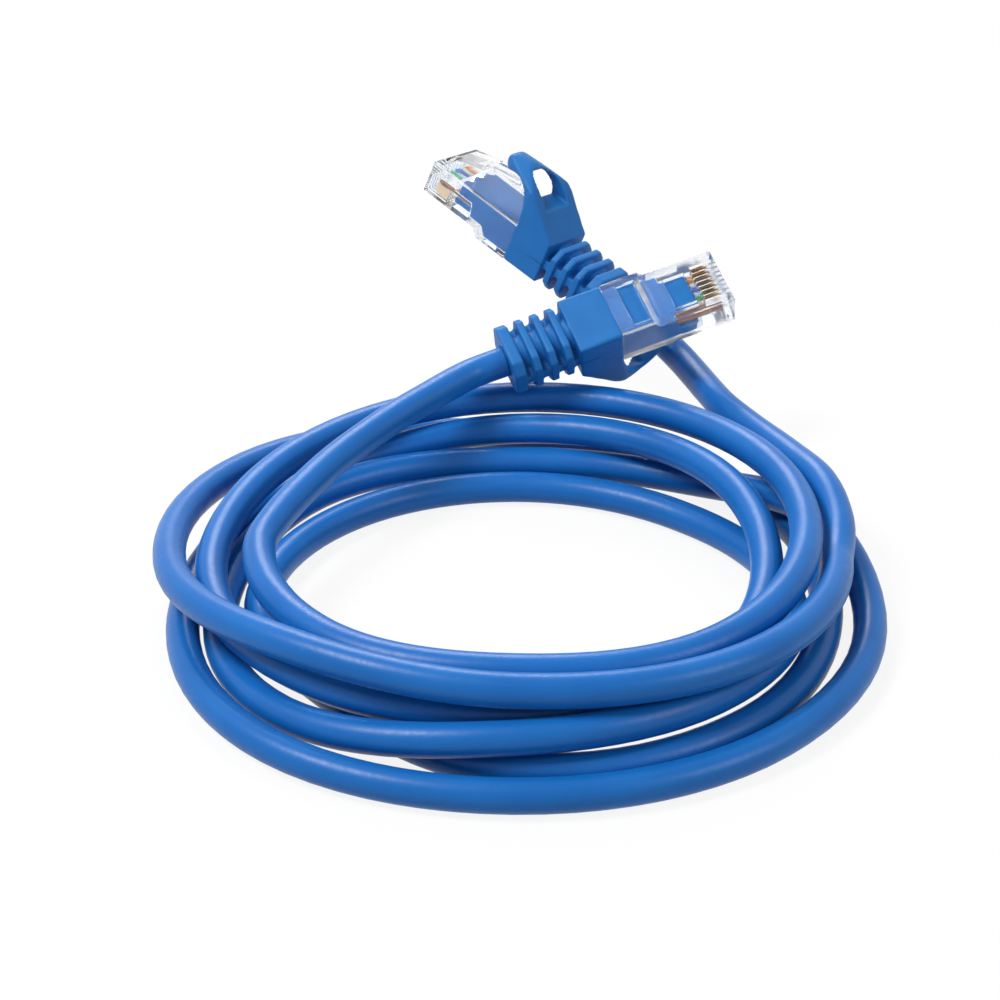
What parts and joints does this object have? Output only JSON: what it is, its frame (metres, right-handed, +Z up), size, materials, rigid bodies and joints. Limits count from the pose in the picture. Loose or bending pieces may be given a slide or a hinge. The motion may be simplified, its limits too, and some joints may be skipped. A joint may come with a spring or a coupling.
{
  "type": "network patch cable",
  "caption": "Coiled round patch cord with a clear modular plug, a sprung latch and a hooded, ribbed boot on each end.",
  "frame": {"origin": "middle of the whole cable's footprint, on the floor under the coil", "axes": "+Z up from the floor the coil lies on, +Y from the coil towards the two plugs, +X to the right seen from the front, where the coil is nearest"},
  "size_m": [0.1185, 0.1645, 0.0464],
  "materials": {
    "cord_jacket": "satin blue PVC",
    "boot": "fine satin blue moulding",
    "clear_housing": "clear polycarbonate, polished",
    "clear_latch": "clear polycarbonate, polished",
    "gold_contact": "gold plated, satin",
    "copper": "bare copper",
    "wire_white_orange": "satin insulation",
    "wire_orange": "satin insulation",
    "wire_white_green": "satin insulation",
    "wire_blue": "satin insulation",
    "wire_white_blue": "satin insulation",
    "wire_green": "satin insulation",
    "wire_white_brown": "satin insulation",
    "wire_brown": "satin insulation"
  },
  "bodies": {
    "cable": {"cord_coil": "cord_jacket", "cord_lead_a": "cord_jacket", "boot_a": "boot", "jacket_end_a": "cord_jacket", "housing_a": "clear_housing", "copper_cores_a": "copper", "cord_lead_b": "cord_jacket", "boot_b": "boot", "jacket_end_b": "cord_jacket", "housing_b": "clear_housing", "copper_cores_b": "copper", "contact_a_1": "gold_contact", "contact_a_2": "gold_contact", "contact_a_3": "gold_contact", "contact_a_4": "gold_contact", "contact_a_5": "gold_contact", "contact_a_6": "gold_contact", "contact_a_7": "gold_contact", "contact_a_8": "gold_contact", "contact_b_1": "gold_contact", "contact_b_2": "gold_contact", "contact_b_3": "gold_contact", "contact_b_4": "gold_contact", "contact_b_5": "gold_contact", "contact_b_6": "gold_contact", "contact_b_7": "gold_contact", "contact_b_8": "gold_contact", "wire_a_1": "wire_white_orange", "wire_a_2": "wire_orange", "wire_a_3": "wire_white_green", "wire_a_4": "wire_blue", "wire_a_5": "wire_white_blue", "wire_a_6": "wire_green", "wire_a_7": "wire_white_brown", "wire_a_8": "wire_brown", "wire_b_1": "wire_white_orange", "wire_b_2": "wire_orange", "wire_b_3": "wire_white_green", "wire_b_4": "wire_blue", "wire_b_5": "wire_white_blue", "wire_b_6": "wire_green", "wire_b_7": "wire_white_brown", "wire_b_8": "wire_brown"},
    "latch_a": {"latch_a": "clear_latch"},
    "latch_b": {"latch_b": "clear_latch"}
  },
  "joints": [
    {"name": "latch_a_press", "type": "hinge", "parent": "cable", "child": "latch_a", "pos_m": [-0.0105, 0.07604, 0.04143], "axis": [0.5993, 0.7928, -0.1108], "range_deg": [0, 12], "stiffness_Nm_per_rad": 0.3},
    {"name": "latch_b_press", "type": "hinge", "parent": "cable", "child": "latch_b", "pos_m": [0.03603, 0.04087, 0.02788], "axis": [-0.3603, 0.8037, 0.4736], "range_deg": [0, 12], "stiffness_Nm_per_rad": 0.3}
  ]
}
